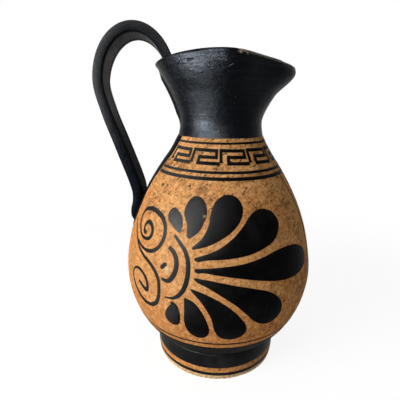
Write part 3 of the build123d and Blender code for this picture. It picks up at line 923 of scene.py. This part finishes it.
heart_line = [
    (-33.1, 124.6), (-27.7, 120.6), (-23.2, 116.4), (-20.4, 111.0), (-19.5, 104.7), (-19.9, 98.3),
    (-21.5, 92.1), (-24.8, 86.8), (-29.3, 83.4), (-36.1, 82.2),
]
inner_line = [
    (-36.4, 116.6), (-32.1, 114.3), (-29.2, 110.3), (-28.4, 105.0), (-30.0, 99.2), (-34.2, 94.3),
    (-39.6, 94.6),
]
dot_outline = [
    (-41.6, 102.3), (-40.4, 104.2), (-38.4, 105.9), (-36.6, 106.0), (-36.0, 104.5), (-37.2, 103.2),
    (-38.8, 101.6), (-40.6, 101.0),
]


def make_heart():
    bm = bmesh.new()
    stroke(bm, smooth_line(heart_line), [2.0, 2.9, 3.4, 3.4, 3.0, 0.8])
    stroke(bm, smooth_line(inner_line), [2.6, 3.5, 3.6, 3.5, 1.6])
    patch(bm, dot_outline)
    wrapped(bm)
    return bm


painted_pair("palmette_heart", make_heart(), line_slip, "heart")

# %% Spirals
upper_spiral = [
    (-62.6, 120.2), (-65.6, 120.1), (-67.3, 121.8), (-66.8, 124.9), (-64.6, 127.3), (-61.0, 127.2),
    (-57.2, 125.2), (-55.6, 121.6), (-57.2, 118.0), (-61.4, 116.3), (-68.0, 116.6), (-73.8, 120.6),
    (-77.4, 127.6), (-75.2, 133.0), (-67.9, 135.8), (-56.1, 135.6), (-47.2, 132.5), (-42.9, 127.4),
    (-42.5, 120.4), (-45.6, 114.5), (-51.3, 110.4), (-58.5, 109.0), (-67.0, 110.2), (-72.5, 112.4),
]
lower_spiral = [
    (-88.7, 123.6), (-80.7, 117.8), (-73.8, 111.9), (-68.5, 107.9), (-61.1, 104.7), (-51.9, 101.5),
    (-46.0, 97.8), (-42.4, 93.2), (-41.1, 87.4), (-41.5, 80.8), (-43.6, 75.4), (-48.2, 71.6), (-54.6, 70.5),
    (-62.6, 73.2), (-69.4, 78.7), (-73.2, 84.9), (-72.0, 90.0), (-67.7, 93.0), (-61.1, 93.0),
    (-55.2, 90.0), (-52.6, 85.4), (-53.4, 81.4), (-56.6, 81.6), (-60.4, 83.4), (-63.6, 84.4),
]


def make_spirals():
    bm = bmesh.new()
    stroke(bm, smooth_line(upper_spiral), [2.6, 2.4, 3.2, 2.9, 1.8, 2.6, 3.3, 3.2, 2.6, 1.3])
    stroke(bm, smooth_line(lower_spiral), [1.1, 1.8, 2.6, 2.9, 3.0, 2.6, 1.6, 2.3, 3.2, 2.0])
    wrapped(bm)
    return bm


painted_pair("spirals", make_spirals(), line_slip, "volutes")

# %% [markdown]
# ## Folds in the slip
# Where the lobes were pinched, the wet slip ran up into low, soft folds. Each is a brush stroke again, but
# laid on the mouth and with a raised middle and sunk edges, so that it just catches the light. A bump in
# the finish would look the same from here, but it would be lost where only the mesh is kept.

# %% Folds
fold_lines = [
    [(-101.6, 230.4), (-97.2, 228.5), (-91.7, 228.0), (-87.1, 228.8), (-83.4, 230.5), (-81.3, 232.1)],
    [(-127.4, 232.2), (-122.7, 233.1), (-116.7, 234.0), (-110.7, 234.9)],
    [(-118.1, 229.0), (-110.4, 227.6), (-104.6, 226.9)],
]
fold_widths = [0.5, 2.6, 3.4, 2.4, 0.5]
fold_crest, fold_edge = 0.36, -0.02


def on_mouth(around, height, lift, turn_radius):
    """Point on the mouth, lifted off it: around is counted from -Y towards +X."""
    turn = around / turn_radius - pi / 2
    radius = outer_radius(turn, height) + lift
    return Vector((radius * cos(turn), radius * sin(turn), height))


def make_folds():
    bm = bmesh.new()
    for fold in fold_lines:
        line = smooth_line([(radians(turn + 90) * mouth_radius, height) for turn, height in fold])
        stroke(bm, line, fold_widths)
    wrapped(bm, mouth_radius, on_mouth, fold_crest, fold_edge)
    return bm


finish_piece("slip_folds", make_folds(), neck_slip, "neck_mouth")

# %% [markdown]
# ## The running key
# Ten hooks run round the shoulder between two lines. Each hook is one brush line with square corners, drawn
# at the shoulder's own radius. One hook could be copied ten times, but the painter's hand drifts a little,
# so each is drawn anew and every corner is moved by a fraction of a millimetre.

# %% Key
key_units = 10
key_back_angle = radians(32)
key_top, key_middle, key_bottom = 177.6, 173.4, 169.6
key_radius = body_radius(key_middle)
key_pitch = (2 * pi - 2 * key_back_angle) / key_units * key_radius
key_start = (key_back_angle - pi / 2) * key_radius
key_stroke = 2.15
key_drift, drift_seeds = 0.4, (1.7, 0.9, 0.3)
hook_start, hook_end = 0.25, 0.84
hook_foot = 1 - 0.3 * key_stroke / key_pitch


def straight_runs(corners, step=1.5):
    """Points along a line with square corners, close enough to follow the clay."""
    line = []
    for start, end in zip(corners, corners[1:]):
        count = max(2, round((end - start).length / step))
        line += [start.lerp(end, share / count) for share in range(count)]
    return line + [corners[-1]]


def make_key():
    bm = bmesh.new()
    for unit in range(key_units):
        plan = [(0, key_bottom), (0, key_top), (hook_end, key_top), (hook_end, key_middle),
                (hook_start, key_middle), (hook_start, key_bottom), (hook_foot, key_bottom)]
        corners = []
        for number, (share, height) in enumerate(plan):
            seed = (unit * drift_seeds[0], number * drift_seeds[1], drift_seeds[2])
            drift = key_drift * noise.noise(seed)
            slope = key_drift * (0.5 - share)
            around = key_start + (unit + share) * key_pitch
            corners.append(Vector((around + drift, height + slope + drift)))
        stroke(bm, straight_runs(corners), [key_stroke])
    wrapped(bm, key_radius)
    return bm


finish_piece("running_key", make_key(), motif_slip, "key_band")

# %% [markdown]
# ## Lines and coats round the pot
# Lines are painted while the wheel turns, so each is a short side line spun round the axis, with a slow
# wander in its height as the brush was held by hand. They could be stripes in the clay's finish, but slip
# is a layer with an edge, and each line is a piece of the part. The lines of the shoulder stop at the
# black tongue under the handle.

# %% Bands
band_step, band_turns = 1.5, 192
wander, wander_scale, wander_apart = 0.18, 0.03, 90
whole_turn = (0, 2 * pi)


def past_tongue(half_gap):
    """Start angle and turn of a line that stops at both sides of the tongue."""
    return radians(half_gap) - pi, 2 * pi - 2 * radians(half_gap)


def band(bottom, top, face, start=0, turn=2 * pi):
    """A coat between two heights, from a start angle, on a face whose radius a function gives."""
    heights = np.linspace(bottom, top, max(2, round((top - bottom) / band_step)))
    side = [(face(h) + coat_thickness, h) for h in heights]
    side[0] = (face(bottom) + coat_edge, bottom)
    side[-1] = (face(top) + coat_edge, top)
    side += [(face(h) + coat_under, h) for h in reversed(heights)]
    bm = spun(side, band_turns, turn, closed=True)
    if turn < 2 * pi:
        bmesh.ops.holes_fill(bm, edges=[edge for edge in bm.edges if edge.is_boundary], sides=0)
        bmesh.ops.recalc_face_normals(bm, faces=bm.faces)
    bmesh.ops.rotate(bm, verts=bm.verts, matrix=Matrix.Rotation(start, 3, "Z"))
    for vert in bm.verts:
        lift = hypot(vert.co.x, vert.co.y) - face(vert.co.z)
        seed = Vector((vert.co.x, vert.co.y, wander_apart * bottom)) * wander_scale
        height = vert.co.z + wander * noise.noise(seed)
        turned = atan2(vert.co.y, vert.co.x)
        radius = face(height) + lift
        vert.co = (radius * cos(turned), radius * sin(turned), height)
    return bm


thin_line, line_width = 1.45, 2.1
ring_lines = {
    "neck_line": (182.2, thin_line, past_tongue(29)),
    "shoulder_line_upper": (164.1, thin_line + 0.2, past_tongue(25)),
    "shoulder_line_lower": (160.4, line_width, past_tongue(23.5)),
    "belly_line": (47.4, 1.5, whole_turn),
}
for node, (height, width, reach) in ring_lines.items():
    bm = band(height - width / 2, height + width / 2, body_radius, *reach)
    finish_piece("painted_" + node, bm, motif_slip, node)

# %% Coat under the belly and line of the foot
coat_bottom, coat_top = foot_height + 0.2, 41.9
foot_line_bottom, foot_line_top = 3.9, 6.7
bm = band(coat_bottom, coat_top, body_radius)
finish_piece("painted_lower_belly", bm, dull_slip, "lower_belly_coat")
bm = band(foot_line_bottom, foot_line_top, foot_face)
finish_piece("painted_foot_line", bm, foot_slip, "foot_line")

# %% [markdown]
# The foot's broad band goes up the swell, over the soft corner and across the ledge to the belly. Such a
# coat is the clay's own side line, moved out a little for its skin and in a little for its underside.

# %% Foot band
band_bottom, band_stations = 10.9, 9
ledge_lift = 0.02


def skin(side):
    """Closed outline of a thin coat along an open side line."""
    outer, under = moved_inwards(side, -coat_thickness), moved_inwards(side, -coat_under)
    return [side[0], *outer, side[-1], *reversed(under)]


ledge_end = (body_radius(foot_height), foot_height + ledge_lift)
side = [(foot_face(h), h) for h in np.linspace(band_bottom, swell_heights[-1], band_stations)]
side = [Vector(point) for point in side + foot_top + [ledge_end]]
finish_piece("painted_foot_band", spun(skin(side), closed=True), foot_slip, "foot_band")

# %% [markdown]
# The tongue under the handle covers the place where the strap was luted on, and two upright lines frame
# the bare panel under the spout. The tongue is a filled outline as a petal is, with its half mirrored, and
# each upright is a brush stroke that keeps its distance from the middle while the belly swells.

# %% Tongue
tongue_side = [
    (31, 185.3), (28.5, 178.0), (26.0, 170.0), (22.4, 160.4), (18.8, 151.6), (17.8, 145.0), (18.6, 136.0),
    (18.8, 127.0), (17.2, 119.6), (11.5, 113.8), (0, 111.6),
]


def make_tongue():
    half = [(radians(angle) * belly_radius, height) for angle, height in tongue_side]
    centre = -pi / 2 * belly_radius
    right = smooth_line(half)
    left = [Vector((-around, height)) for around, height in reversed(right[:-1])]
    bm = bmesh.new()
    bm.faces.new([bm.verts.new((centre + around, height, 0)) for around, height in right + left])
    cut_to_grid(bm)
    wrapped(bm)
    return bm


finish_piece("painted_tongue", make_tongue(), strap_slip, "back_coat")

# %% Panel
panel_half = 21.0
panel_bottom, panel_top, panel_stations = 47.6, 159.6, 60


def make_panel():
    bm = bmesh.new()
    for side in (-1, 1):
        line = []
        for height in np.linspace(panel_bottom, panel_top, panel_stations):
            turn = pi / 2 + side * asin(panel_half / body_radius(height))
            line.append(Vector((turn * belly_radius, height)))
        stroke(bm, line, [thin_line])
    wrapped(bm)
    return bm


finish_piece("panel_lines", make_panel(), motif_slip, "panel_frame")

# %% [markdown]
# ## Studio
# The jug stands on a pale floor in front of a white room. A soft lamp on the left lets the belly fall off
# to the right, as daylight from a window does, and a ceiling lamp fills in from above. Three cards are
# there for the shine alone: only the gloss of the slip sees them, so they bring out the neck, the lip and
# the flare and add no light to the clay. The room and the floor show white to the camera without lighting
# the jug.

# %% Floor
floor_half = 4
FLOOR_GREY, SHADOW_GREY = (0.7, 0.7, 0.7, 1), (0.2, 0.2, 0.2, 1)
FLOOR_GLOW = 0.9
WHITE_FROM = (0.2, 0.5)


def white_for(nodes, links):
    """A value of 1 for rays that should see a white room: the camera's, and those in gloss and glass."""
    path = nodes.new("ShaderNodeLightPath")
    value = path.outputs["Is Camera Ray"]
    for ray in ("Is Glossy Ray", "Is Transmission Ray"):
        either = nodes.new("ShaderNodeMath")
        either.operation = "MAXIMUM"
        links.new(value, either.inputs[0])
        links.new(path.outputs[ray], either.inputs[1])
        value = either.outputs[0]
    return value


def make_floor():
    bm = bmesh.new()
    bmesh.ops.create_grid(bm, x_segments=1, y_segments=1, size=floor_half)
    mesh = bpy.data.meshes.new("floor")
    bm.to_mesh(mesh)
    bm.free()
    floor = bpy.data.objects.new("floor", mesh)
    bpy.context.scene.collection.objects.link(floor)
    pale = Finish("pale_floor", 0.8, 0.1)
    pale.shader.inputs["Base Color"].default_value = FLOOR_GREY
    nodes, links = pale.nodes, pale.links
    seen, both = nodes.new("ShaderNodeBsdfDiffuse"), nodes.new("ShaderNodeAddShader")
    glow, white = nodes.new("ShaderNodeEmission"), nodes.new("ShaderNodeEmission")
    fade, pick = nodes.new("ShaderNodeMixShader"), nodes.new("ShaderNodeMixShader")
    seen.inputs["Color"].default_value = SHADOW_GREY
    glow.inputs["Strength"].default_value = FLOOR_GLOW
    away = nodes.new("ShaderNodeVectorMath")
    away.operation = "LENGTH"
    links.new(pale.place, away.inputs[0])
    links.new(seen.outputs[0], both.inputs[0])
    links.new(glow.outputs[0], both.inputs[1])
    links.new(pale.remap(away.outputs["Value"], *WHITE_FROM), fade.inputs[0])
    links.new(both.outputs[0], fade.inputs[1])
    links.new(white.outputs[0], fade.inputs[2])
    links.new(white_for(nodes, links), pick.inputs[0])
    links.new(pale.shader.outputs[0], pick.inputs[1])
    links.new(fade.outputs[0], pick.inputs[2])
    links.new(pick.outputs[0], nodes["Material Output"].inputs["Surface"])
    mesh.materials.append(pale.material)
    print(f"floor: {2 * floor_half} m wide")


make_floor()

# %% Room
ROOM_LIGHT = 0.09


def make_room():
    world = bpy.data.worlds.new("white_room")
    bpy.context.scene.world = world
    world.use_nodes = True
    nodes, links = world.node_tree.nodes, world.node_tree.links
    light, white = nodes["Background"], nodes.new("ShaderNodeBackground")
    pick = nodes.new("ShaderNodeMixShader")
    light.inputs["Color"].default_value = (1, 1, 1, 1)
    light.inputs["Strength"].default_value = ROOM_LIGHT
    white.inputs["Color"].default_value = (1, 1, 1, 1)
    links.new(white_for(nodes, links), pick.inputs[0])
    links.new(light.outputs[0], pick.inputs[1])
    links.new(white.outputs[0], pick.inputs[2])
    links.new(pick.outputs[0], nodes["World Output"].inputs["Surface"])
    print("room light:", ROOM_LIGHT)


make_room()

# %% Lamps
def soft_lamp(name, place, target, width, height, power):
    """A rectangular lamp that shines from a place at a target."""
    lamp = bpy.data.lights.new(name, "AREA")
    lamp.shape = "RECTANGLE"
    lamp.size, lamp.size_y = width, height
    lamp.energy = power
    holder = bpy.data.objects.new(name, lamp)
    holder.location = place
    holder.rotation_euler = (Vector(target) - Vector(place)).to_track_quat("-Z", "Y").to_euler()
    holder.visible_camera = False
    bpy.context.scene.collection.objects.link(holder)
    print(f"{name}: {power} W")
    return holder


soft_lamp("window", (-0.94, -0.76, 0.62), (0, 0, 0.15), 0.6, 0.6, 11.5)
soft_lamp("ceiling", (-0.2, -0.3, 1.5), (0, 0, 0.1), 1.0, 1.0, 4)
gloss_cards = [
    soft_lamp("neck_card", (-0.218, -0.206, 0.175), (0, 0, 0.175), 0.18, 0.12, 10),
    soft_lamp("lip_card", (-0.09, -0.28, 0.30), (0, 0, 0.23), 0.2, 0.06, 5.6),
    soft_lamp("table_card", (-0.28, -0.25, 0.01), (-0.28, -0.25, 1), 0.42, 0.36, 9),
]
for card in gloss_cards:
    card.visible_diffuse = False
print("cards for the shine alone:", len(gloss_cards))

# %% [markdown]
# ## Camera
# The camera stands level with the jug's throat, close to it, and looks a little down, so the ring foot
# opens towards it and the lip is seen from just below. It could be turned by hand until the view fits. The
# numbers here were solved from the painted circles instead, which fixes the place and the lens together.

# %% Camera
SENSOR_WIDTH, FOCAL_LENGTH = 36.0, 30.23
camera_place = (0, -0.265, 0.20892)
pitch, yaw, roll = radians(-16.18), radians(3.30), radians(0.67)


def make_camera():
    lens = bpy.data.cameras.new("camera")
    lens.sensor_width = SENSOR_WIDTH
    lens.lens = FOCAL_LENGTH
    camera = bpy.data.objects.new("camera", lens)
    tilt = Matrix.Rotation(pi / 2 + pitch, 3, "X") @ Matrix.Rotation(roll, 3, "Z")
    turn = Matrix.Rotation(yaw, 3, "Z") @ tilt
    camera.matrix_world = Matrix.Translation(camera_place) @ turn.to_4x4()
    bpy.context.scene.collection.objects.link(camera)
    bpy.context.scene.camera = camera
    return camera


camera = make_camera()
bpy.context.scene.view_settings.view_transform = "Standard"
print("camera looks along", [-round(x, 4) for x in camera.matrix_world.col[2][:3]])
